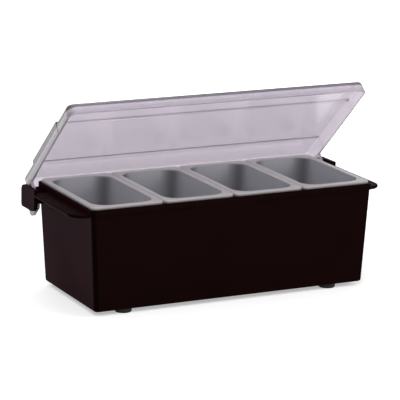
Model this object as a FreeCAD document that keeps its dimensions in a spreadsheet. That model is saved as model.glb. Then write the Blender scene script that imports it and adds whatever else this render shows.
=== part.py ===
"""Four-pan condiment caddy: a drafted plastic tub with grip wings and hinge ears at its ends,
four lift-out pans that hang by their rims, one clear flip lid and four stick-on feet.

Millimetres, +Z up. Each piece is drawn in its own frame and set in place by its Placement. The
origin of the whole is the middle of the caddy's footprint box, at table height, with the lid
standing open. +X runs to the right along the tub and +Y to the back, where the lid is hinged.
"""
import FreeCAD, Part
import math
import os
import re
import Sketcher

Vector = FreeCAD.Vector

SIZES = {
    # tub, measured at its top edge unless said otherwise
    "tub_length": 322,
    "tub_depth": 142,
    "rim_height": 112.5,        # table to the tub's top edge
    "foot_height": 5,           # table to the tub's underside
    "end_draft": 3,             # degrees, the end walls lean in towards the bottom
    "side_draft": 2,            # degrees, the front and back walls
    "tub_corner": 4.5,
    "tub_wall": 2.5,
    "tub_floor": 3.5,
    "tub_bottom_round": 2.5,
    "lip_height": 6,
    "lip_proud": 1,
    # grip wings, one flange that runs through both ends
    "wing_reach": 18,
    "wing_drop": 5,           # top edge of the tub to the wing's upper face
    "wing_thickness": 3.6,
    "wing_front_inset": 6,
    "wing_corner": 16,
    "wing_edge_round": 1.6,
    "wing_rib_depth": 11,
    "wing_rib_thickness": 2.4,
    # hinge: axis below the tub's top edge and ahead of its back face
    "hinge_drop": 11,
    "hinge_inset": 5,
    "ear_ahead": 28,
    "ear_behind": 8,
    "ear_above": 10,
    "ear_below": 14,
    "ear_thickness": 4,
    "ear_front_round": 8,     # lower front corner
    "ear_top_round": 7,       # upper back corner
    "ear_back_round": 3,      # lower back corner
    "hinge_boss_radius": 6.5,
    "stub_radius": 3.5,
    "stub_grip": 2.6,         # how far each stub reaches into its socket
    "stub_clearance": 0.06,   # radial
    "socket_spare": 0.4,      # the sockets are this much deeper than the stubs
    "lug_gap": 0.5,           # lug to hinge boss, along the axis
    # pans
    "pan_count": 4,
    "pan_gap": 0.5,
    "pan_rim_inset": 1.3,
    "pan_rim_thickness": 3,
    "pan_rim_width": 6.5,
    "pan_rim_corner": 6,
    "pan_rim_round": 1.2,
    "ice_space": 16,          # tub's floor to the undersides of the pans
    "pan_draft": 3,           # degrees
    "pan_wall": 2,
    "pan_corner": 18,
    "pan_floor_round": 8,
    # lid, as moulded: panel level, skirt down
    "lid_wall": 2,
    "lid_end_overhang": 9.7,
    "lid_front_overhang": 9.3,
    "lid_back_overhang": 6.5,
    "lid_rise": 12.5,         # tub's top edge to the top of the lid's panel
    "skirt_depth": 15.5,      # at the back
    "skirt_front_depth": 12.7,
    "skirt_draft": 4.5,       # degrees, the skirt flares out towards its rim
    "lid_corner": 7,
    "lid_edge_round": 3.5,
    "plateau_rise": 1.5,
    "plateau_side": 0.3,
    "plateau_front": 29,      # tub's front face to the front step
    "plateau_back": 31,       # tub's back face to the back step
    "plateau_round": 1,
    "lug_thickness": 3.5,
    "lug_ahead": 12,
    "lug_below": 22.5,
    "lug_round": 5,
    "lid_open_angle": 41,
    # feet
    "foot_radius": 9.5,
    "foot_taper": 1,
    "foot_recess": 1,
    "foot_clearance": 0.2,
    "foot_round": 0.8,
    "foot_end_inset": 42,
    "foot_side_inset": 16,
}

# Places that several pieces share, written in the sizes above.
HALF_LENGTH = "tub_length / 2"
HALF_DEPTH = "tub_depth / 2"
WING_TOP = "rim_height - wing_drop"
WING_EDGE = f"({HALF_LENGTH} + wing_reach)"
HINGE_Y = f"({HALF_DEPTH} - hinge_inset)"
HINGE_Z = "(rim_height - hinge_drop)"
EAR_FRONT = f"({HINGE_Y} - ear_ahead)"
EAR_INSIDE = f"({WING_EDGE} - ear_thickness)"
SKIRT_FLARE = "(skirt_depth * tan(skirt_draft))"
LUG_INSIDE = f"({HALF_LENGTH} + lid_end_overhang + {SKIRT_FLARE} - lid_wall)"
LUG_OUTSIDE = f"({LUG_INSIDE} + lug_thickness)"
BOSS_FACE = f"({LUG_INSIDE} - lug_gap)"
PAN_DEPTH = "(rim_height - foot_height - tub_floor - ice_space)"
PAN_PITCH = "((tub_length - 2 * pan_rim_inset + pan_gap) / pan_count)"
FOOT_X = [f"foot_end_inset - {HALF_LENGTH}", f"{HALF_LENGTH} - foot_end_inset"]
FOOT_Y = [f"foot_side_inset - {HALF_DEPTH}", f"{HALF_DEPTH} - foot_side_inset"]

doc = FreeCAD.newDocument("condiment_caddy")
sheet = doc.addObject("Spreadsheet::Sheet", "Sizes")


def fill_sheet():
    for row, (alias, number) in enumerate(SIZES.items(), start=1):
        sheet.set(f"A{row}", alias)
        sheet.set(f"B{row}", str(number))
        sheet.setAlias(f"B{row}", alias)
    doc.recompute()


def bound(formula):
    """The formula with every size's name pointed at its cell in the sheet."""
    return re.sub(r"\b[a-z_]+\b(?!\()", lambda word: "Sizes." + word.group(0), str(formula))


def number(formula):
    return float(sheet.evalExpression(bound(formula)))


# ---- sketches ---------------------------------------------------------------------------------

def new_body(label):
    body = doc.addObject("PartDesign::Body", label)
    body.Label = label
    return body


def new_sketch(body, name, role, offset):
    """An empty sketch on one of the body's own origin planes, moved along its normal."""
    sketch = body.newObject("Sketcher::SketchObject", name)
    plane = next(f for f in body.Origin.OriginFeatures if f.Role == role)
    sketch.AttachmentSupport = [(plane, "")]
    sketch.MapMode = "FlatFace"
    sketch.setExpression(".AttachmentOffset.Base.z", bound(offset))
    return sketch


def bind(sketch, kind, where, formula):
    """One dimension of the sketch, driven by the sheet."""
    index = sketch.addConstraint(Sketcher.Constraint(kind, *where, number(formula)))
    dimension = f"size_{index}"
    sketch.renameConstraint(index, dimension)
    sketch.setExpression(f"Constraints.{dimension}", bound(formula))


def rounded_rectangle(sketch, half_x, front, back, corner):
    """Rounded rectangle, symmetric in X, from front to back in Y."""
    x, y0, y1, r = number(half_x), number(front), number(back), number(corner)
    centres = [Vector(x - r, y0 + r, 0), Vector(x - r, y1 - r, 0),
               Vector(r - x, y1 - r, 0), Vector(r - x, y0 + r, 0)]
    starts = [Vector(r - x, y0, 0), Vector(x, y0 + r, 0), Vector(x - r, y1, 0), Vector(-x, y1 - r, 0)]
    ends = [Vector(x - r, y0, 0), Vector(x, y1 - r, 0), Vector(r - x, y1, 0), Vector(-x, y0 + r, 0)]
    for i in range(4):
        sketch.addGeometry(Part.LineSegment(starts[i], ends[i]), False)
        circle = Part.Circle(centres[i], Vector(0, 0, 1), r)
        turn = (i - 1) * math.pi / 2
        sketch.addGeometry(Part.ArcOfCircle(circle, turn, turn + math.pi / 2), False)
    for line in (0, 2, 4, 6):
        sketch.addConstraint(Sketcher.Constraint("Tangent", line, 2, line + 1, 1))
        sketch.addConstraint(Sketcher.Constraint("Tangent", line + 1, 2, (line + 2) % 8, 1))
        sketch.addConstraint(Sketcher.Constraint("Vertical" if line in (2, 6) else "Horizontal", line))
    for arc in (3, 5, 7):
        sketch.addConstraint(Sketcher.Constraint("Equal", 1, arc))
    bind(sketch, "Radius", (1,), corner)
    bind(sketch, "DistanceX", (-1, 1, 2, 1), half_x)
    bind(sketch, "DistanceX", (-1, 1, 6, 1), f"-({half_x})")
    bind(sketch, "DistanceY", (-1, 1, 0, 1), front)
    bind(sketch, "DistanceY", (-1, 1, 4, 1), back)
    return sketch


def polygon(sketch, corners):
    """Closed outline with straight sides. Each corner is a pair of formulas."""
    points = [Vector(number(u), number(v), 0) for u, v in corners]
    for i, point in enumerate(points):
        sketch.addGeometry(Part.LineSegment(point, points[(i + 1) % len(points)]), False)
    for i in range(len(points)):
        sketch.addConstraint(Sketcher.Constraint("Coincident", i, 2, (i + 1) % len(points), 1))
    for i, (u, v) in enumerate(corners):
        bind(sketch, "DistanceX", (-1, 1, i, 1), u)
        bind(sketch, "DistanceY", (-1, 1, i, 1), v)
    return sketch


def circle(sketch, u, v, radius):
    shape = Part.Circle(Vector(number(u), number(v), 0), Vector(0, 0, 1), number(radius))
    index = sketch.addGeometry(shape, False)
    bind(sketch, "Radius", (index,), radius)
    bind(sketch, "DistanceX", (-1, 1, index, 3), u)
    bind(sketch, "DistanceY", (-1, 1, index, 3), v)
    return sketch


# ---- features ---------------------------------------------------------------------------------

def extrude(body, name, sketch, length, reverse=False, cut=False, taper="0"):
    """Pad, or a Pocket that must remove something. With a positive taper, in degrees, its sides
    close in with the distance from the sketch."""
    before = body.Shape.Volume if cut else 0.0
    feature = body.newObject("PartDesign::Pocket" if cut else "PartDesign::Pad", name)
    feature.Profile = sketch
    feature.setExpression("Length", bound(length))
    feature.setExpression("TaperAngle", bound(f"-({taper})"))
    feature.Reversed = reverse
    doc.recompute()
    if cut and not body.Shape.Volume < before - 0.01:
        raise RuntimeError(f"{name} cuts nothing")
    return feature


def lean(body, name, base, angle, wanted):
    """Leans the chosen upright faces inwards, away from the top, which keeps its size."""
    faces = [f"Face{i}" for i, face in enumerate(base.Shape.Faces, start=1) if wanted(face)]
    top = max(range(len(base.Shape.Faces)), key=lambda i: base.Shape.Faces[i].BoundBox.ZMin)
    feature = body.newObject("PartDesign::Draft", name)
    feature.Base = (base, faces)
    feature.NeutralPlane = (base, [f"Face{top + 1}"])
    feature.Reversed = True
    feature.setExpression("Angle", bound(angle))
    doc.recompute()
    return feature


def fillet(body, name, base, radius, wanted):
    """Rounds the edges of the feature so far for which wanted(edge) is true."""
    names = [f"Edge{i}" for i, edge in enumerate(base.Shape.Edges, start=1) if wanted(edge)]
    if not names:
        raise RuntimeError(f"{name} finds no edge")
    feature = body.newObject("PartDesign::Fillet", name)
    feature.Base = (base, names)
    feature.setExpression("Radius", bound(radius))
    doc.recompute()
    return feature


def mirrored(body, name, originals):
    """The named features again at the other end of the piece."""
    feature = body.newObject("PartDesign::Mirrored", name)
    feature.Originals = originals
    plane = next(f for f in body.Origin.OriginFeatures if f.Role == "YZ_Plane")
    feature.MirrorPlane = (plane, [""])
    body.Tip = feature
    doc.recompute()
    return feature


def near(a, b, margin=0.05):
    return abs(a - b) < margin


def flat_at(edge, z, margin=0.05):
    """True when the whole edge lies at height z."""
    box = edge.BoundBox
    return near(box.ZMin, z, margin) and near(box.ZMax, z, margin)


# ---- tub --------------------------------------------------------------------------------------

def build_tub():
    body = new_body("base_tub")

    def plan(name, height, half_x, half_y, corner):
        sketch = new_sketch(body, name, "XY_Plane", height)
        return rounded_rectangle(sketch, half_x, f"-({half_y})", half_y, corner)

    block_plan = new_sketch(body, "block_plan", "XY_Plane", "rim_height")
    polygon(block_plan, [(f"-{HALF_LENGTH}", f"-{HALF_DEPTH}"), (HALF_LENGTH, f"-{HALF_DEPTH}"),
                         (HALF_LENGTH, HALF_DEPTH), (f"-{HALF_LENGTH}", HALF_DEPTH)])
    block = extrude(body, "block", block_plan, "rim_height - foot_height", reverse=True)
    ends = lean(body, "end_draft", block, "end_draft",
                lambda face: near(abs(face.CenterOfMass.x), number(HALF_LENGTH)))
    leaned = lean(body, "side_draft", ends, "side_draft",
                  lambda face: near(abs(face.CenterOfMass.y), number(HALF_DEPTH)))
    corners = fillet(body, "corners", leaned, "tub_corner",
                     lambda edge: edge.BoundBox.ZLength > number("rim_height") / 2)
    fillet(body, "bottom_round", corners, "tub_bottom_round",
           lambda edge: flat_at(edge, number("foot_height")))

    lip_plan = plan("lip_plan", "rim_height - lip_height", f"{HALF_LENGTH} + lip_proud",
                    f"{HALF_DEPTH} + lip_proud", "tub_corner + lip_proud")
    extrude(body, "lip", lip_plan, "lip_height")

    wing_front = f"(wing_front_inset - {HALF_DEPTH})"
    wing_back = f"({EAR_FRONT} + wing_rib_thickness)"
    wing_plan = new_sketch(body, "wing_plan", "XY_Plane", f"{WING_TOP} - wing_thickness")
    polygon(wing_plan, [(f"-{WING_EDGE}", wing_front), (WING_EDGE, wing_front),
                        (WING_EDGE, wing_back), (f"-{WING_EDGE}", wing_back)])
    wings = extrude(body, "wings", wing_plan, "wing_thickness")
    fillet(body, "wing_corners", wings, "wing_corner",
           lambda edge: near(abs(edge.CenterOfMass.x), number(WING_EDGE))
           and near(edge.CenterOfMass.y, number(wing_front)))
    rib_plan = new_sketch(body, "rib_plan", "XY_Plane", WING_TOP)
    polygon(rib_plan, [(f"-{WING_EDGE}", EAR_FRONT), (WING_EDGE, EAR_FRONT),
                       (WING_EDGE, wing_back), (f"-{WING_EDGE}", wing_back)])
    extrude(body, "wing_ribs", rib_plan, "wing_rib_depth", reverse=True)

    hollow_plan = plan("hollow_plan", "rim_height", f"{HALF_LENGTH} - tub_wall",
                       f"{HALF_DEPTH} - tub_wall", "tub_corner - tub_wall")
    hollow = extrude(body, "hollow", hollow_plan, "rim_height - foot_height - tub_floor",
                     cut=True, taper="end_draft")

    def wing_rim(edge):
        """Outer edges of the wings, above and below, back to the ears."""
        box = edge.BoundBox
        levels = (number(WING_TOP), number(f"{WING_TOP} - wing_thickness"))
        beyond_lip = max(abs(box.XMin), abs(box.XMax)) > number(f"{HALF_LENGTH} + 2 * lip_proud")
        ahead = box.YMax < number(wing_back) + 0.1 and box.YMin < number(EAR_FRONT) - 0.1
        return beyond_lip and ahead and any(flat_at(edge, z) for z in levels)

    fillet(body, "wing_round", hollow, "wing_edge_round", wing_rim)

    ear_plan = new_sketch(body, "ear_plan", "YZ_Plane", EAR_INSIDE)
    ear_top = f"({HINGE_Z} + ear_above)"
    ear_bottom = f"({HINGE_Z} - ear_below)"
    ear_back = f"({HINGE_Y} + ear_behind)"
    polygon(ear_plan, [(EAR_FRONT, ear_bottom), (ear_back, ear_bottom),
                       (ear_back, ear_top), (EAR_FRONT, ear_top)])
    ear = extrude(body, "ear", ear_plan, "ear_thickness")

    boss_plan = new_sketch(body, "boss_plan", "YZ_Plane", BOSS_FACE)
    circle(boss_plan, HINGE_Y, HINGE_Z, "hinge_boss_radius")
    boss = extrude(body, "hinge_boss", boss_plan, f"{BOSS_FACE} - {HALF_LENGTH} + tub_wall / 2",
                   reverse=True)

    def socket(name, x, outwards):
        """Blind hole for one of the lid's stubs, from the face at x."""
        sketch = new_sketch(body, name + "_plan", "YZ_Plane", x)
        circle(sketch, HINGE_Y, HINGE_Z, "stub_radius + stub_clearance")
        return extrude(body, name, sketch, "stub_grip + socket_spare", reverse=outwards, cut=True)

    sockets = [socket("ear_socket", EAR_INSIDE, True), socket("boss_socket", BOSS_FACE, False)]
    other_end = mirrored(body, "other_end", [ear, boss] + sockets)

    def ear_corner(y, z):
        """The two edges through the ears' thickness at one corner of their outline."""
        def wanted(edge):
            spot = edge.CenterOfMass
            return (near(edge.BoundBox.XLength, number("ear_thickness"))
                    and near(spot.y, number(y)) and near(spot.z, number(z)))
        return wanted

    front_round = fillet(body, "ear_front_round", other_end, "ear_front_round",
                         ear_corner(EAR_FRONT, ear_bottom))
    top_round = fillet(body, "ear_top_round", front_round, "ear_top_round",
                       ear_corner(ear_back, ear_top))
    fillet(body, "ear_back_round", top_round, "ear_back_round", ear_corner(ear_back, ear_bottom))

    recess_plan = new_sketch(body, "foot_recess_plan", "XY_Plane", "foot_height")
    for x in FOOT_X:
        for y in FOOT_Y:
            circle(recess_plan, x, y, "foot_radius + foot_clearance")
    extrude(body, "foot_recesses", recess_plan, "foot_recess", reverse=True, cut=True)
    return body


# ---- pans -------------------------------------------------------------------------------------

def build_pan(label, place_x):
    """One pan. Its own frame is centred on the pan, at the height of the tub's top edge."""
    body = new_body(label)
    rim_x = f"(({PAN_PITCH} - pan_gap) / 2)"
    rim_y = f"({HALF_DEPTH} - pan_rim_inset)"

    def plan(name, height, inset, corner):
        """The pan's outline at one height, drawn in from the rim's edge by the inset."""
        sketch = new_sketch(body, name, "XY_Plane", height)
        return rounded_rectangle(sketch, f"{rim_x} - ({inset})", f"-({rim_y} - ({inset}))",
                                 f"{rim_y} - ({inset})", corner)

    extrude(body, "outside", plan("outside_plan", "0", "pan_rim_width - pan_wall", "pan_corner"),
            PAN_DEPTH, reverse=True, taper="pan_draft")
    extrude(body, "rim", plan("rim_plan", "0", "0", "pan_rim_corner"), "pan_rim_thickness")
    inside = extrude(body, "inside",
                     plan("inside_plan", "pan_rim_thickness", "pan_rim_width", "pan_corner - pan_wall"),
                     f"pan_rim_thickness + {PAN_DEPTH} - pan_wall", cut=True, taper="pan_draft")
    floor = fillet(body, "floor_round", inside, "pan_floor_round",
                   lambda edge: flat_at(edge, number(f"pan_wall - {PAN_DEPTH}")))
    bottom = fillet(body, "bottom_round", floor, "pan_floor_round + pan_wall",
                    lambda edge: flat_at(edge, number(f"-{PAN_DEPTH}")))
    fillet(body, "rim_round", bottom, "pan_rim_round",
           lambda edge: flat_at(edge, number("pan_rim_thickness")))
    body.Placement = FreeCAD.Placement(Vector(place_x, 0, number("rim_height")), FreeCAD.Rotation())
    return body


# ---- lid --------------------------------------------------------------------------------------

def build_lid():
    """The lid in its moulded attitude, in a frame whose X axis is the hinge's axis."""
    body = new_body("flip_lid")
    panel = "(hinge_drop + lid_rise)"
    rim = f"({panel} - skirt_depth)"
    half_x = f"({HALF_LENGTH} + lid_end_overhang)"
    front = "(hinge_inset - tub_depth - lid_front_overhang)"
    back = "(hinge_inset + lid_back_overhang)"
    band_front = "(hinge_inset - tub_depth + plateau_front)"
    band_back = "(hinge_inset - plateau_back)"

    def plan(name, skin):
        """The panel's outline at the underside of a skin this thick."""
        sketch = new_sketch(body, name, "XY_Plane", f"{panel} - {skin}")
        return rounded_rectangle(sketch, f"{half_x} - {skin}", f"{front} + {skin}",
                                 f"{back} - {skin}", f"lid_corner - {skin}")

    def band(name, skin):
        """End view of the raised band across the lid, drawn in by a skin this thick."""
        top = f"{panel} + plateau_rise - {skin}"
        reach = f"({half_x} + plateau_side - {skin})"
        foot = f"({reach} + {SKIRT_FLARE})"
        sketch = new_sketch(body, name, "XZ_Plane", f"-({band_back} - {skin})")
        return polygon(sketch, [(f"-{foot}", rim), (foot, rim), (reach, top), (f"-{reach}", top)])

    outer = extrude(body, "outer", plan("outer_plan", "0"), "skirt_depth", reverse=True,
                    taper="-skirt_draft")
    fillet(body, "outer_round", outer, "lid_edge_round",
           lambda edge: flat_at(edge, number(panel)))
    plateau = extrude(body, "plateau", band("plateau_view", "0"), f"{band_back} - {band_front}")
    fillet(body, "plateau_round", plateau, "plateau_round",
           lambda edge: flat_at(edge, number(f"{panel} + plateau_rise")))
    hollow = extrude(body, "hollow", plan("hollow_plan", "lid_wall"), "skirt_depth - lid_wall",
                     cut=True, taper="-skirt_draft")
    fillet(body, "hollow_round", hollow, "lid_edge_round - lid_wall",
           lambda edge: flat_at(edge, number(f"{panel} - lid_wall")))
    extrude(body, "plateau_hollow", band("plateau_hollow_view", "lid_wall"),
            f"{band_back} - {band_front} - 2 * lid_wall", reverse=True, cut=True)

    slope_plan = new_sketch(body, "rim_slope_plan", "YZ_Plane", LUG_OUTSIDE)
    polygon(slope_plan, [(f"{front} - {SKIRT_FLARE}", rim), (f"{back} + {SKIRT_FLARE}", rim),
                         (f"{front} - {SKIRT_FLARE}", f"{panel} - skirt_front_depth")])
    extrude(body, "rim_slope", slope_plan, f"2 * {LUG_OUTSIDE}", cut=True)

    lug_plan = new_sketch(body, "lug_plan", "YZ_Plane", LUG_INSIDE)
    lug_top = f"({rim} + lid_wall)"
    polygon(lug_plan, [("-lug_ahead", lug_top), ("-lug_ahead", "-lug_below"),
                       (back, "-lug_below"), (back, lug_top)])
    lug = extrude(body, "lug", lug_plan, "lug_thickness")

    def stub(name, x, length, inwards):
        sketch = new_sketch(body, name + "_plan", "YZ_Plane", x)
        circle(sketch, "0", "0", "stub_radius")
        return extrude(body, name, sketch, length, reverse=inwards)

    stubs = [stub("outer_stub", LUG_OUTSIDE, f"{EAR_INSIDE} - {LUG_OUTSIDE} + stub_grip", False),
             stub("inner_stub", LUG_INSIDE, "lug_gap + stub_grip", True)]
    other_end = mirrored(body, "other_end", [lug] + stubs)
    fillet(body, "lug_round", other_end, "lug_round",
           lambda edge: near(edge.BoundBox.XLength, number("lug_thickness"))
           and near(edge.CenterOfMass.z, -number("lug_below")))
    turn = FreeCAD.Rotation(Vector(1, 0, 0), -number("lid_open_angle"))
    body.Placement = FreeCAD.Placement(Vector(0, number(HINGE_Y), number(HINGE_Z)), turn)
    return body


# ---- feet -------------------------------------------------------------------------------------

def build_foot(label, place_x, place_y):
    """Round pad, narrower at the table, seated in its recess under the tub."""
    body = new_body(label)
    profile = new_sketch(body, "profile", "XZ_Plane", "0")
    polygon(profile, [("0", "0"), ("foot_radius - foot_taper", "0"),
                      ("foot_radius", "foot_height"), ("foot_radius", "foot_height + foot_recess"),
                      ("0", "foot_height + foot_recess")])
    pad = body.newObject("PartDesign::Revolution", "pad")
    pad.Profile = profile
    pad.ReferenceAxis = (profile, ["V_Axis"])
    pad.Angle = 360
    doc.recompute()
    fillet(body, "table_round", pad, "foot_round", lambda edge: flat_at(edge, 0.0))
    body.Placement = FreeCAD.Placement(Vector(place_x, place_y, 0), FreeCAD.Rotation())
    return body


def build_all():
    bodies = [build_tub()]
    count = int(number("pan_count"))
    for i in range(count):
        place_x = (i - (count - 1) / 2) * number(PAN_PITCH)
        bodies.append(build_pan(f"insert_pan_{i + 1}", place_x))
    bodies.append(build_lid())
    for y, row in zip(FOOT_Y, ("front", "rear")):
        for x, side in zip(FOOT_X, ("left", "right")):
            bodies.append(build_foot(f"foot_{row}_{side}", number(x), number(y)))
    return bodies


def centre_on_table(bodies):
    """Moves every piece together, so that the middle of the footprint box is at the origin."""
    doc.recompute()
    box = Part.makeCompound([body.Shape for body in bodies]).optimalBoundingBox(False, False)
    shift = Vector(-box.Center.x, -box.Center.y, -box.ZMin)
    for body in bodies:
        body.Placement.Base = body.Placement.Base + shift
    doc.recompute()


def check_and_write(bodies):
    for item in doc.Objects:
        if {"Invalid", "Error"} & set(item.State):
            raise RuntimeError(f"{item.Label} failed: {item.State}")
    for body in bodies:
        shape = body.Shape
        if shape.isNull() or not shape.isValid() or len(shape.Solids) != 1:
            raise RuntimeError(f"{body.Label} isn't one valid solid")
    os.makedirs("parts", exist_ok=True)
    for body in bodies:
        body.Shape.exportStep(f"parts/{body.Label}.step")


fill_sheet()
pieces = build_all()
centre_on_table(pieces)
check_and_write(pieces)
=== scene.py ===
"""Finishes a condiment caddy: its plastics and rubber, and the table, lights and camera around it.

Metres, +Z up. Every piece stays where its CAD node is. The caddy stands with its lid open.
"""

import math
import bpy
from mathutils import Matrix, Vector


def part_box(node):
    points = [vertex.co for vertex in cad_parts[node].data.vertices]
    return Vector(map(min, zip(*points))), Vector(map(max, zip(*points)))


bl_info = {
    "name": "Condiment Caddy Finishes",
    "version": (1, 0, 0),
    "blender": (4, 5, 0),
    "location": "3D View > Sidebar > Caddy",
    "description": "Plastic and rubber finishes for a four-pan condiment caddy, and its studio",
    "category": "Material",
}

import bmesh
import bpy
from bpy.props import FloatProperty, FloatVectorProperty, PointerProperty
from mathutils import Matrix, Quaternion, Vector

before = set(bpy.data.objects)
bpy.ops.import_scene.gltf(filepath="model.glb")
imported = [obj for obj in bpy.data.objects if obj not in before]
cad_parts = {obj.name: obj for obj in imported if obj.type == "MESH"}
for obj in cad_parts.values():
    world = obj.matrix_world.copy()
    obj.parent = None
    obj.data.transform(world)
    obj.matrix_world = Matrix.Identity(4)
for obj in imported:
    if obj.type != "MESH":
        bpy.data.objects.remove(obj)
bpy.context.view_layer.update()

MM = 0.001
PANS_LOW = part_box("insert_pan_1")[0]
PANS_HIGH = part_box("insert_pan_4")[1]
RIM_TOP = PANS_HIGH.z
RIM_SEAT = 3 * MM         # the rims' undersides, which rest on the tub, are this far below
RIM_ROUND = 0.4 * MM      # the frosted upper face starts this far below the rims' tops


# ---- colour and node helpers --------------------------------------------------------------------

def linear(code):
    """Linear RGBA of an sRGB hex colour such as 2A2B2C."""
    parts = [int(code[i:i + 2], 16) / 255 for i in (0, 2, 4)]
    return [c / 12.92 if c <= 0.04045 else ((c + 0.055) / 1.055) ** 2.4 for c in parts] + [1.0]


def add(tree, kind, inputs=None, **settings):
    """Adds a node with its settings and links. An input is a value, a socket to link, or a node,
    whose first output in use is linked."""
    node = tree.nodes.new(kind)
    for name, value in settings.items():
        setattr(node, name, value)
    for name, value in (inputs or {}).items():
        if isinstance(value, bpy.types.Node):
            value = next(socket for socket in value.outputs if socket.enabled)
        if isinstance(value, bpy.types.NodeSocket):
            tree.links.new(value, node.inputs[name])
        else:
            node.inputs[name].default_value = value
    return node


def new_material(name):
    """A material with an empty tree, and the sockets for the place and facing of its surface."""
    material = bpy.data.materials.new(name)
    material.use_nodes = True
    tree = material.node_tree
    tree.nodes.clear()
    return material, tree, add(tree, "ShaderNodeTexCoord").outputs


def per_metre(size_mm):
    """Scale of a noise texture whose features are this many millimetres across."""
    return 1 / (size_mm * MM)


def corner_turn(tree, place):
    """0 on a flat upright wall, and a half in the middle of an upright round corner."""
    normal = add(tree, "ShaderNodeSeparateXYZ", {"Vector": place["Normal"]}).outputs
    turn = add(tree, "ShaderNodeMath", {0: normal["X"], 1: normal["Y"]}, operation="MULTIPLY")
    return add(tree, "ShaderNodeMath", {0: turn}, operation="ABSOLUTE")


def seen_itself(tree):
    """1 where a surface is seen, straight or by gloss or through clear plastic, and 0 where it
    only lights the caddy."""
    ray = add(tree, "ShaderNodeLightPath").outputs
    seen = add(tree, "ShaderNodeMath", {0: ray["Is Camera Ray"], 1: ray["Is Glossy Ray"]},
               operation="MAXIMUM")
    return add(tree, "ShaderNodeMath", {0: seen, 1: ray["Is Transmission Ray"]},
               operation="MAXIMUM")


def finish_nodes(material, names):
    """Gives the material to these CAD nodes."""
    for name in names:
        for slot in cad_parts[name].material_slots:
            slot.material = material


# ---- settings -----------------------------------------------------------------------------------

class CaddyTubSettings(bpy.types.PropertyGroup):
    colour: FloatVectorProperty(
        name="Colour", description="Black of the moulded tub", subtype="COLOR", size=4,
        min=0, max=1, default=linear("150707"))
    shade: FloatVectorProperty(
        name="Shade", description="Darker black between the clouds of the tub's surface",
        subtype="COLOR", size=4, min=0, max=1, default=linear("0E0505"))
    # Painted shade: the tub's upright round corners are painted this deeper black.
    painted_corner_shade: FloatVectorProperty(
        name="Corner colour", description="Deepest black, round the upright corners",
        subtype="COLOR", size=4, min=0, max=1, default=linear("080203"))
    # Painted reflection: the violet cast that the ends and ears take from their surroundings is
    # painted into their colour.
    painted_reflection: FloatVectorProperty(
        name="Bloom", description="Violet-black bloom of the tub's ends and ears",
        subtype="COLOR", size=4, min=0, max=1, default=linear("1C050C"))
    grain: FloatProperty(
        name="Grain", description="Width of one pit of the moulded grain, in millimetres",
        default=1.4, min=0.2, max=5)


class CaddyPanSettings(bpy.types.PropertyGroup):
    colour: FloatVectorProperty(
        name="Colour", description="Smoky grey of the pans", subtype="COLOR", size=4,
        min=0, max=1, default=linear("C2C2CA"))
    # Painted shade: the pans' corners and closed-in walls and floors are painted towards this
    # darker grey.
    painted_corner_shade: FloatVectorProperty(
        name="Corner colour", description="Darker grey of the pans' corners and floors",
        subtype="COLOR", size=4, min=0, max=1, default=linear("2E2F34"))
    rim_colour: FloatVectorProperty(
        name="Rim colour", description="Paler, frosted grey of the pans' rims", subtype="COLOR",
        size=4, min=0, max=1, default=linear("B7B2B4"))
    # Painted shade: the rims' outer faces over the black tub are painted this darker grey.
    painted_seat_shade: FloatVectorProperty(
        name="Seat colour", description="Darker grey where a rim meets the black tub",
        subtype="COLOR", size=4, min=0, max=1, default=linear("706C6F"))


class CaddyLidSettings(bpy.types.PropertyGroup):
    colour: FloatVectorProperty(
        name="Colour", description="Violet-grey haze of the lid's surface", subtype="COLOR",
        size=4, min=0, max=1, default=linear("E9E2EC"))
    # Painted shade: the outside of the skirt is painted greyer towards its rim, more at the ends
    # than at the front.
    painted_skirt_shade: FloatVectorProperty(
        name="Skirt colour", description="Greyer haze outside the skirt, towards its rim",
        subtype="COLOR", size=4, min=0, max=1, default=linear("918B93"))
    rim_colour: FloatVectorProperty(
        name="Rim colour", description="Grey of the cut face along the skirt's rim",
        subtype="COLOR", size=4, min=0, max=1, default=linear("F5F0F8"))
    # Painted shade: the lid's rounded front edge and its rounded end edges are painted these
    # darker greys.
    painted_edge_shade: FloatVectorProperty(
        name="Edge colour", description="Darker grey of the lid's rounded front edge",
        subtype="COLOR", size=4, min=0, max=1, default=linear("77737A"))
    painted_end_shade: FloatVectorProperty(
        name="End edge colour", description="Darkest grey of the rounded edges at the lid's ends",
        subtype="COLOR", size=4, min=0, max=1, default=linear("403E42"))
    open_angle: FloatProperty(
        name="Open angle", description="How far the lid stands open from level",
        subtype="ANGLE", default=math.radians(41))
    tint: FloatVectorProperty(
        name="Tint", description="What a thick piece of the lid's plastic lets through",
        subtype="COLOR", size=4, min=0, max=1, default=linear("90848F"))
    density: FloatProperty(
        name="Density", description="How strongly the plastic takes up light, per metre",
        default=110, min=0, max=2000)


class CaddyStageSettings(bpy.types.PropertyGroup):
    distance: FloatProperty(
        name="Distance", description="Camera to the point that it looks at", unit="LENGTH",
        default=2.4312, min=0.5, max=10)
    azimuth: FloatProperty(
        name="Azimuth", description="How far the camera stands round from the front",
        subtype="ANGLE", default=math.radians(-26.38))
    elevation: FloatProperty(
        name="Elevation", description="How far the camera stands above the horizon",
        subtype="ANGLE", default=math.radians(13.658))
    roll: FloatProperty(
        name="Roll", description="Turn of the camera about its own line of sight",
        subtype="ANGLE", default=math.radians(0.974))
    lens: FloatProperty(
        name="Lens", description="Focal length of the camera, in millimetres",
        default=207.5, min=20, max=400)
    aim: FloatVectorProperty(
        name="Aim", description="The point that the camera looks at", subtype="XYZ",
        unit="LENGTH", default=(-0.00607, -0.00833, 0.09389))
    floor_colour: FloatVectorProperty(
        name="Floor colour", description="Colour of the table top", subtype="COLOR", size=4,
        min=0, max=1, default=linear("E6E5E6"))


# ---- materials ----------------------------------------------------------------------------------

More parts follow.
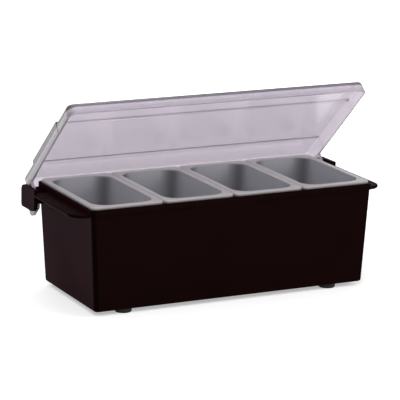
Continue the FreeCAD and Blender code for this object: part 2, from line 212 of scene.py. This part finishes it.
def moulded_abs(settings):
    """Black injection-moulded ABS: satin, with the fine pits of a textured mould and the faint
    cloudiness of handling. It gives the eye a deep warm black, with painted shade that makes it
    deepest round the upright corners, and a painted violet reflection on the ends and ears."""
    material, tree, place = new_material("black moulded ABS")
    clouds = add(tree, "ShaderNodeTexNoise",
                 {"Vector": place["Object"], "Scale": per_metre(60), "Detail": 3.0})
    tone = add(tree, "ShaderNodeMix",
               {"Factor": clouds, "A": settings.shade, "B": settings.colour}, data_type="RGBA")
    # Painted shade: round the upright corners the black is mixed towards a deeper black.
    corner = add(tree, "ShaderNodeMapRange",
                 {"Value": corner_turn(tree, place), "From Min": 0.02, "From Max": 0.25},
                 interpolation_type="SMOOTHSTEP")
    tone = add(tree, "ShaderNodeMix", {"Factor": corner, "A": tone, "B": settings.painted_corner_shade},
               data_type="RGBA")
    # Painted reflection: faces that look along X, the tub's ends and its ears, are mixed towards a
    # violet-black.
    sideways = add(tree, "ShaderNodeSeparateXYZ", {"Vector": place["Normal"]})
    sideways = add(tree, "ShaderNodeMath", {0: sideways.outputs["X"]}, operation="ABSOLUTE")
    end = add(tree, "ShaderNodeMapRange", {"Value": sideways, "From Min": 0.94, "From Max": 0.99},
              interpolation_type="SMOOTHSTEP")
    tone = add(tree, "ShaderNodeMix", {"Factor": end, "A": tone, "B": settings.painted_reflection},
               data_type="RGBA")
    roughness = add(tree, "ShaderNodeMapRange", {"Value": clouds, "From Min": 0.3, "From Max": 0.7,
                                                 "To Min": 0.34, "To Max": 0.46})
    # The real grain is about 0.3 mm and would not show, so it is drawn coarser.
    pits = add(tree, "ShaderNodeTexNoise",
               {"Vector": place["Object"], "Scale": per_metre(settings.grain), "Detail": 2.0})
    bump = add(tree, "ShaderNodeBump", {"Height": pits, "Strength": 0.18, "Distance": 0.15 * MM})
    # The specular level is far below that of bare ABS, so that the black stays deep.
    plastic = add(tree, "ShaderNodeBsdfPrincipled",
                  {"Base Color": tone, "Roughness": roughness, "IOR": 1.53,
                   "Specular IOR Level": 0.005, "Normal": bump})
    add(tree, "ShaderNodeOutputMaterial", {"Surface": plastic})
    return material


def painted_shade_over_tub_edge(tree, place):
    """1 on the outer faces of the row of pans, which stand over the tub's black edge and get
    painted shade there.
    """
    middle = (PANS_LOW + PANS_HIGH) / 2
    reach = PANS_HIGH - middle
    away = add(tree, "ShaderNodeVectorMath", {0: place["Object"], 1: middle}, operation="SUBTRACT")
    away = add(tree, "ShaderNodeVectorMath", {0: away}, operation="ABSOLUTE")
    away = add(tree, "ShaderNodeSeparateXYZ", {"Vector": away}).outputs
    end = add(tree, "ShaderNodeMath", {0: away["X"], 1: reach.x - RIM_SEAT},
              operation="GREATER_THAN")
    side = add(tree, "ShaderNodeMath", {0: away["Y"], 1: reach.y - RIM_SEAT},
               operation="GREATER_THAN")
    return add(tree, "ShaderNodeMath", {0: end, 1: side}, operation="MAXIMUM")


def smoked_san(settings):
    """Smoky styrene-acrylonitrile pans: satin and half clear, with painted shade that darkens the
    walls where they are closed in and round their corners inside the tub, while the rims catch the
    light and look frosted."""
    material, tree, place = new_material("smoky moulded SAN")
    # Painted shade: ambient occlusion and the upright round corners mix the pans' grey towards a
    # darker grey.
    ao_for_painted_shade = add(tree, "ShaderNodeAmbientOcclusion", {"Distance": 60 * MM}, samples=16,
                    only_local=True)
    wall = add(tree, "ShaderNodeMapRange",
               {"Value": ao_for_painted_shade.outputs["AO"], "From Min": 0.35, "From Max": 0.85},
               interpolation_type="SMOOTHSTEP")
    flat = add(tree, "ShaderNodeMapRange",
               {"Value": corner_turn(tree, place), "From Min": 0.0, "From Max": 0.5,
                "To Min": 1.0, "To Max": 0.25})
    lit = add(tree, "ShaderNodeMath", {0: wall, 1: flat}, operation="MULTIPLY")
    inside = add(tree, "ShaderNodeMix",
                 {"Factor": lit, "A": settings.painted_corner_shade, "B": settings.colour},
                 data_type="RGBA")
    # Painted shade: the outer faces over the tub's edge are mixed towards a darker grey.
    below = add(tree, "ShaderNodeMix",
                {"Factor": painted_shade_over_tub_edge(tree, place), "A": inside, "B": settings.painted_seat_shade},
                data_type="RGBA")
    height = add(tree, "ShaderNodeSeparateXYZ", {"Vector": place["Object"]}).outputs["Z"]
    rim = add(tree, "ShaderNodeMapRange",
              {"Value": height, "From Min": RIM_TOP - RIM_SEAT, "From Max": RIM_TOP - RIM_ROUND},
              interpolation_type="SMOOTHSTEP")
    tone = add(tree, "ShaderNodeMix", {"Factor": rim, "A": below, "B": settings.rim_colour},
               data_type="RGBA")
    # The frosting's grains are finer than 0.1 mm, and are drawn coarser so that they show.
    frosting = add(tree, "ShaderNodeTexNoise",
                   {"Vector": place["Object"], "Scale": per_metre(0.8), "Detail": 2.0})
    roughness = add(tree, "ShaderNodeMapRange",
                    {"Value": frosting, "From Min": 0.3, "From Max": 0.7,
                     "To Min": 0.36, "To Max": 0.44})
    bump = add(tree, "ShaderNodeBump",
               {"Height": frosting, "Strength": 0.05, "Distance": 0.05 * MM})
    plastic = add(tree, "ShaderNodeBsdfPrincipled",
                  {"Base Color": tone, "Roughness": roughness, "IOR": 1.57,
                   "Transmission Weight": 0.35, "Normal": bump})
    add(tree, "ShaderNodeOutputMaterial", {"Surface": plastic})
    return material


# The lid's dark edge, which is painted shade: how far it reaches down the skirt's front and ends,
# and in over the panel.
EDGE_DEPTH = 6.4 * MM
END_DEPTH = 7.8 * MM
EDGE_WIDTH = 4.6 * MM
EDGE_BLUR = 0.8 * MM
SKIRT_START = 6 * MM      # below the top of the lid, where the skirt's painted shade starts
SKIRT_CLEAR = 12 * MM     # the skirt's rim is further than this below the top of the lid
FRONT_PAINTED_SHADE = 0.35         # painted shade at the front, as a part of that at the ends


def panel_limits(open_angle):
    """Corners of the box round the lid's panel, once the open lid is turned level."""
    level = Matrix.Rotation(open_angle, 3, "X")
    spots = [level @ vertex.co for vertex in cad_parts["flip_lid"].data.vertices]
    top = max(spot.z for spot in spots)
    spots = [spot for spot in spots if spot.z > top - EDGE_DEPTH]
    return (Vector(min(spot[i] for spot in spots) for i in range(3)),
            Vector(max(spot[i] for spot in spots) for i in range(3)))


def turned_level(tree, vector, open_angle):
    """X, Y and Z of a vector on the open lid, once the lid is turned level as it was moulded."""
    level = add(tree, "ShaderNodeVectorRotate", {"Vector": vector, "Angle": open_angle},
                rotation_type="X_AXIS")
    return add(tree, "ShaderNodeSeparateXYZ", {"Vector": level}).outputs


def outer_face(tree, place):
    """1 on faces that look away from the middle of the caddy, and 0 on those towards it."""
    outwards = add(tree, "ShaderNodeVectorMath", {0: place["Object"], 1: place["Normal"]},
                   operation="DOT_PRODUCT")
    return add(tree, "ShaderNodeMapRange",
               {"Value": outwards, "From Min": 50 * MM, "From Max": 90 * MM})


def painted_edge_shade_mask(tree, local, sideways, low, high):
    """1 along the rounded edge, where the panel turns into the skirt at the front and ends, and
    painted shade darkens it.
    """
    # The edge's painted shade reaches further down the skirt's ends than down its front.
    height = add(tree, "ShaderNodeMath", {0: sideways, 1: END_DEPTH - EDGE_DEPTH, 2: local["Z"]},
                 operation="MULTIPLY_ADD")
    edge_foot = high.z - EDGE_DEPTH
    rounded = add(tree, "ShaderNodeMapRange",
                  {"Value": height, "From Min": edge_foot - EDGE_BLUR,
                   "From Max": edge_foot + EDGE_BLUR}, interpolation_type="SMOOTHSTEP")
    side = add(tree, "ShaderNodeMath", {0: local["X"]}, operation="ABSOLUTE")
    near_end = add(tree, "ShaderNodeMapRange",
                   {"Value": side, "From Min": high.x - EDGE_WIDTH - EDGE_BLUR,
                    "From Max": high.x - EDGE_WIDTH}, interpolation_type="SMOOTHSTEP")
    near_front = add(tree, "ShaderNodeMapRange",
                     {"Value": local["Y"], "From Min": low.y + EDGE_WIDTH,
                      "From Max": low.y + EDGE_WIDTH + EDGE_BLUR, "To Min": 1.0, "To Max": 0.0},
                     interpolation_type="SMOOTHSTEP")
    outline = add(tree, "ShaderNodeMath", {0: near_end, 1: near_front}, operation="MAXIMUM")
    return add(tree, "ShaderNodeMath", {0: rounded, 1: outline}, operation="MULTIPLY")


def painted_skirt_shade_mask(tree, local, sideways, high):
    """Painted shade on the skirt: grows down the skirt, and is weaker at the front than at the
    ends.
    """
    fall = add(tree, "ShaderNodeMapRange",
               {"Value": local["Z"], "From Min": high.z - SKIRT_CLEAR,
                "From Max": high.z - SKIRT_START, "To Min": 1.0, "To Max": 0.0})
    haze = add(tree, "ShaderNodeMapRange", {"Value": sideways, "To Min": FRONT_PAINTED_SHADE})
    return add(tree, "ShaderNodeMath", {0: fall, 1: haze}, operation="MULTIPLY")


def cut_rim(tree, local, facing, high):
    """1 on the rim's cut face, which looks down as the panel does but lies further down."""
    down = add(tree, "ShaderNodeMapRange", {"Value": facing["Z"], "From Min": -0.9,
                                            "From Max": -0.6, "To Min": 1.0, "To Max": 0.0})
    lower = add(tree, "ShaderNodeMath", {0: local["Z"], 1: high.z - SKIRT_CLEAR},
                operation="LESS_THAN")
    return add(tree, "ShaderNodeMath", {0: down, 1: lower}, operation="MULTIPLY")


def clear_san(settings):
    """Clear styrene-acrylonitrile lid with a faint violet-grey cast. It lets the background
    through. The rounded edge where its panel turns into the skirt, and the skirt's outside, carry
    painted shade, which stands in for the dark that light running a long way through the plastic
    gives there."""
    material, tree, place = new_material("clear moulded SAN")
    low, high = panel_limits(settings.open_angle)
    local = turned_level(tree, place["Object"], settings.open_angle)
    facing = turned_level(tree, place["Normal"], settings.open_angle)
    sideways = add(tree, "ShaderNodeMath", {0: facing["X"]}, operation="ABSOLUTE")
    outer = outer_face(tree, place)
    # Painted shade: the skirt's outer faces are mixed towards a greyer colour.
    skirt = add(tree, "ShaderNodeMath",
                {0: painted_skirt_shade_mask(tree, local, sideways, high), 1: outer}, operation="MULTIPLY")
    skin = add(tree, "ShaderNodeMix",
               {"Factor": skirt, "A": settings.colour, "B": settings.painted_skirt_shade},
               data_type="RGBA")
    rim = cut_rim(tree, local, facing, high)
    skin = add(tree, "ShaderNodeMix", {"Factor": rim, "A": skin, "B": settings.rim_colour},
               data_type="RGBA")
    # Painted shade: the rounded edge is mixed towards dark grey, darkest at the ends.
    dark = add(tree, "ShaderNodeMix",
               {"Factor": sideways, "A": settings.painted_edge_shade, "B": settings.painted_end_shade},
               data_type="RGBA")
    edge = add(tree, "ShaderNodeMath",
               {0: painted_edge_shade_mask(tree, local, sideways, low, high), 1: outer},
               operation="MULTIPLY")
    tone = add(tree, "ShaderNodeMix", {"Factor": edge, "A": skin, "B": dark}, data_type="RGBA")
    waves = add(tree, "ShaderNodeTexNoise",
                {"Vector": place["Object"], "Scale": per_metre(45), "Detail": 1.0})
    bump = add(tree, "ShaderNodeBump", {"Height": waves, "Strength": 0.1, "Distance": 0.6 * MM})
    plastic = add(tree, "ShaderNodeBsdfPrincipled",
                  {"Base Color": tone, "Roughness": 0.2, "IOR": 1.57,
                   "Transmission Weight": 0.72, "Normal": bump})
    # The lamps shine straight through, as through any thin clear plastic.
    lamp_path = add(tree, "ShaderNodeBsdfTransparent", {"Color": linear("F2F0F3")})
    ray = add(tree, "ShaderNodeLightPath").outputs
    surface = add(tree, "ShaderNodeMixShader",
                  {"Fac": ray["Is Shadow Ray"], 1: plastic, 2: lamp_path})
    body = add(tree, "ShaderNodeVolumeAbsorption",
               {"Color": settings.tint, "Density": settings.density})
    add(tree, "ShaderNodeOutputMaterial", {"Surface": surface, "Volume": body})
    return material


def foot_rubber():
    """Black stick-on rubber: matte, slightly dusty, with a fine even grain."""
    material, tree, place = new_material("black sheet rubber")
    grain = add(tree, "ShaderNodeTexNoise",
                {"Vector": place["Object"], "Scale": per_metre(1.2), "Detail": 2.0})
    tone = add(tree, "ShaderNodeMix",
               {"Factor": grain, "A": linear("0E0C0D"), "B": linear("241F21")},
               data_type="RGBA")
    bump = add(tree, "ShaderNodeBump", {"Height": grain, "Strength": 0.3, "Distance": 0.2 * MM})
    rubber = add(tree, "ShaderNodeBsdfPrincipled",
                 {"Base Color": tone, "Roughness": 0.8, "IOR": 1.52, "Specular IOR Level": 0.3,
                  "Normal": bump})
    add(tree, "ShaderNodeOutputMaterial", {"Surface": rubber})
    return material


# ---- operators ----------------------------------------------------------------------------------

class CADDY_OT_finish_tub(bpy.types.Operator):
    """Gives the tub its black plastic and the feet their rubber"""
    bl_idname = "caddy.finish_tub"
    bl_label = "Finish Tub and Feet"

    def execute(self, context):
        finish_nodes(moulded_abs(context.scene.caddy_tub), ["base_tub"])
        feet = [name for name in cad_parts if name.startswith("foot_")]
        finish_nodes(foot_rubber(), feet)
        return {"FINISHED"}


class CADDY_OT_finish_pans(bpy.types.Operator):
    """Gives the four pans their smoky plastic"""
    bl_idname = "caddy.finish_pans"
    bl_label = "Finish Pans"

    def execute(self, context):
        pans = [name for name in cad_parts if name.startswith("insert_pan_")]
        finish_nodes(smoked_san(context.scene.caddy_pans), pans)
        return {"FINISHED"}


class CADDY_OT_finish_lid(bpy.types.Operator):
    """Gives the lid its clear plastic"""
    bl_idname = "caddy.finish_lid"
    bl_label = "Finish Lid"

    def execute(self, context):
        finish_nodes(clear_san(context.scene.caddy_lid), ["flip_lid"])
        return {"FINISHED"}


# The table top is a wide disc, just below the feet so that they don't lie in its plane.
TABLE_RADIUS = 9
TABLE_GAP = 0.05 * MM
SHADOW_REACH = 0.25       # from the caddy's middle, where the table starts to turn plain white
WHITE_BEYOND = 1.1
SHADOW_GLOW = 0.42        # of the table's own white, round the caddy
WORLD_LIGHT = 0.55        # that the white surroundings give, where they aren't seen
SENSOR_WIDTH = 36         # millimetres
LAMP_AIM = Vector((0, 0, 0.1))
# Name, place, size across and watts.
SOFTBOXES = (("key_softbox", (-1.3, -2.0, 2.0), 1.2, 42),
             ("fill_softbox", (1.9, -1.6, 1.3), 1.4, 20),
             ("top_softbox", (0.3, 0.9, 2.3), 1.3, 17))


class CADDY_OT_build_stage(bpy.types.Operator):
    """Makes the table top, the white surroundings, the lamps and the camera"""
    bl_idname = "caddy.build_stage"
    bl_label = "Build Stage"

    def execute(self, context):
        settings = context.scene.caddy_stage
        self.build_floor(context, settings)
        self.build_world(context)
        self.build_lamps(context)
        self.build_camera(context, settings)
        context.scene.view_settings.view_transform = "Standard"
        return {"FINISHED"}

    def build_floor(self, context, settings):
        mesh = bpy.data.meshes.new("table_top")
        shape = bmesh.new()
        bmesh.ops.create_circle(shape, cap_ends=True, segments=96, radius=TABLE_RADIUS)
        bmesh.ops.translate(shape, vec=(0, 0, -TABLE_GAP), verts=shape.verts)
        shape.to_mesh(mesh)
        shape.free()
        floor = bpy.data.objects.new("table_top", mesh)
        context.scene.collection.objects.link(floor)
        mesh.materials.append(self.white_laminate(settings))

    def white_laminate(self, settings):
        """Round the caddy the table keeps its shadow, and further off it is plain white."""
        material, tree, place = new_material("white laminate table top")
        away = add(tree, "ShaderNodeVectorMath", {0: place["Object"]}, operation="LENGTH")
        glow = add(tree, "ShaderNodeMapRange",
                   {"Value": away, "From Min": SHADOW_REACH, "From Max": WHITE_BEYOND,
                    "To Min": SHADOW_GLOW, "To Max": 1.0}, interpolation_type="SMOOTHSTEP")
        strength = add(tree, "ShaderNodeMath", {0: glow, 1: seen_itself(tree)},
                       operation="MULTIPLY")
        lit = add(tree, "ShaderNodeBsdfDiffuse", {"Color": settings.floor_colour})
        white = add(tree, "ShaderNodeEmission", {"Strength": strength})
        both = add(tree, "ShaderNodeAddShader", {0: lit, 1: white})
        add(tree, "ShaderNodeOutputMaterial", {"Surface": both})
        return material

    def build_world(self, context):
        world = bpy.data.worlds.new("white surroundings")
        world.use_nodes = True
        tree = world.node_tree
        tree.nodes.clear()
        strength = add(tree, "ShaderNodeMapRange",
                       {"Value": seen_itself(tree), "To Min": WORLD_LIGHT, "To Max": 1.0})
        backdrop = add(tree, "ShaderNodeBackground",
                       {"Color": linear("FFFFFF"), "Strength": strength})
        add(tree, "ShaderNodeOutputWorld", {"Surface": backdrop})
        context.scene.world = world

    def build_lamps(self, context):
        for name, place, size, power in SOFTBOXES:
            light = bpy.data.lights.new(name, "AREA")
            light.size = size
            light.energy = power
            lamp = bpy.data.objects.new(name, light)
            lamp.location = place
            lamp.rotation_mode = "QUATERNION"
            lamp.rotation_quaternion = (LAMP_AIM - lamp.location).to_track_quat("-Z", "Y")
            context.scene.collection.objects.link(lamp)

    def build_camera(self, context, settings):
        data = bpy.data.cameras.new("camera")
        data.lens = settings.lens
        data.sensor_width = SENSOR_WIDTH
        camera = bpy.data.objects.new("camera", data)
        turn, rise = settings.azimuth, settings.elevation
        back = Vector((math.sin(turn) * math.cos(rise), -math.cos(turn) * math.cos(rise),
                       math.sin(rise)))
        camera.location = Vector(settings.aim) + back * settings.distance
        camera.rotation_mode = "QUATERNION"
        roll = Quaternion((0, 0, 1), settings.roll)
        camera.rotation_quaternion = (-back).to_track_quat("-Z", "Y") @ roll
        context.scene.collection.objects.link(camera)
        context.scene.camera = camera


class CADDY_PT_sidebar(bpy.types.Panel):
    """Lists the caddy's finishes and their settings"""
    bl_idname = "CADDY_PT_sidebar"
    bl_label = "Condiment Caddy"
    bl_space_type = "VIEW_3D"
    bl_region_type = "UI"
    bl_category = "Caddy"

    def draw(self, context):
        for group, operator in GROUPS:
            box = self.layout.box()
            settings = getattr(context.scene, group)
            for name in settings.__annotations__:
                box.prop(settings, name)
            box.operator(operator.bl_idname)


GROUPS = (("caddy_tub", CADDY_OT_finish_tub), ("caddy_pans", CADDY_OT_finish_pans),
          ("caddy_lid", CADDY_OT_finish_lid), ("caddy_stage", CADDY_OT_build_stage))
CLASSES = (CaddyTubSettings, CaddyPanSettings, CaddyLidSettings, CaddyStageSettings,
           CADDY_OT_finish_tub, CADDY_OT_finish_pans, CADDY_OT_finish_lid, CADDY_OT_build_stage,
           CADDY_PT_sidebar)


def register():
    for item in CLASSES:
        bpy.utils.register_class(item)
    bpy.types.Scene.caddy_tub = PointerProperty(type=CaddyTubSettings)
    bpy.types.Scene.caddy_pans = PointerProperty(type=CaddyPanSettings)
    bpy.types.Scene.caddy_lid = PointerProperty(type=CaddyLidSettings)
    bpy.types.Scene.caddy_stage = PointerProperty(type=CaddyStageSettings)


def unregister():
    for group, operator in GROUPS:
        delattr(bpy.types.Scene, group)
    for item in reversed(CLASSES):
        bpy.utils.unregister_class(item)


def main():
    register()
    bpy.ops.caddy.finish_tub()
    bpy.ops.caddy.finish_pans()
    bpy.ops.caddy.finish_lid()
    bpy.ops.caddy.build_stage()


if __name__ == "__main__":
    main()
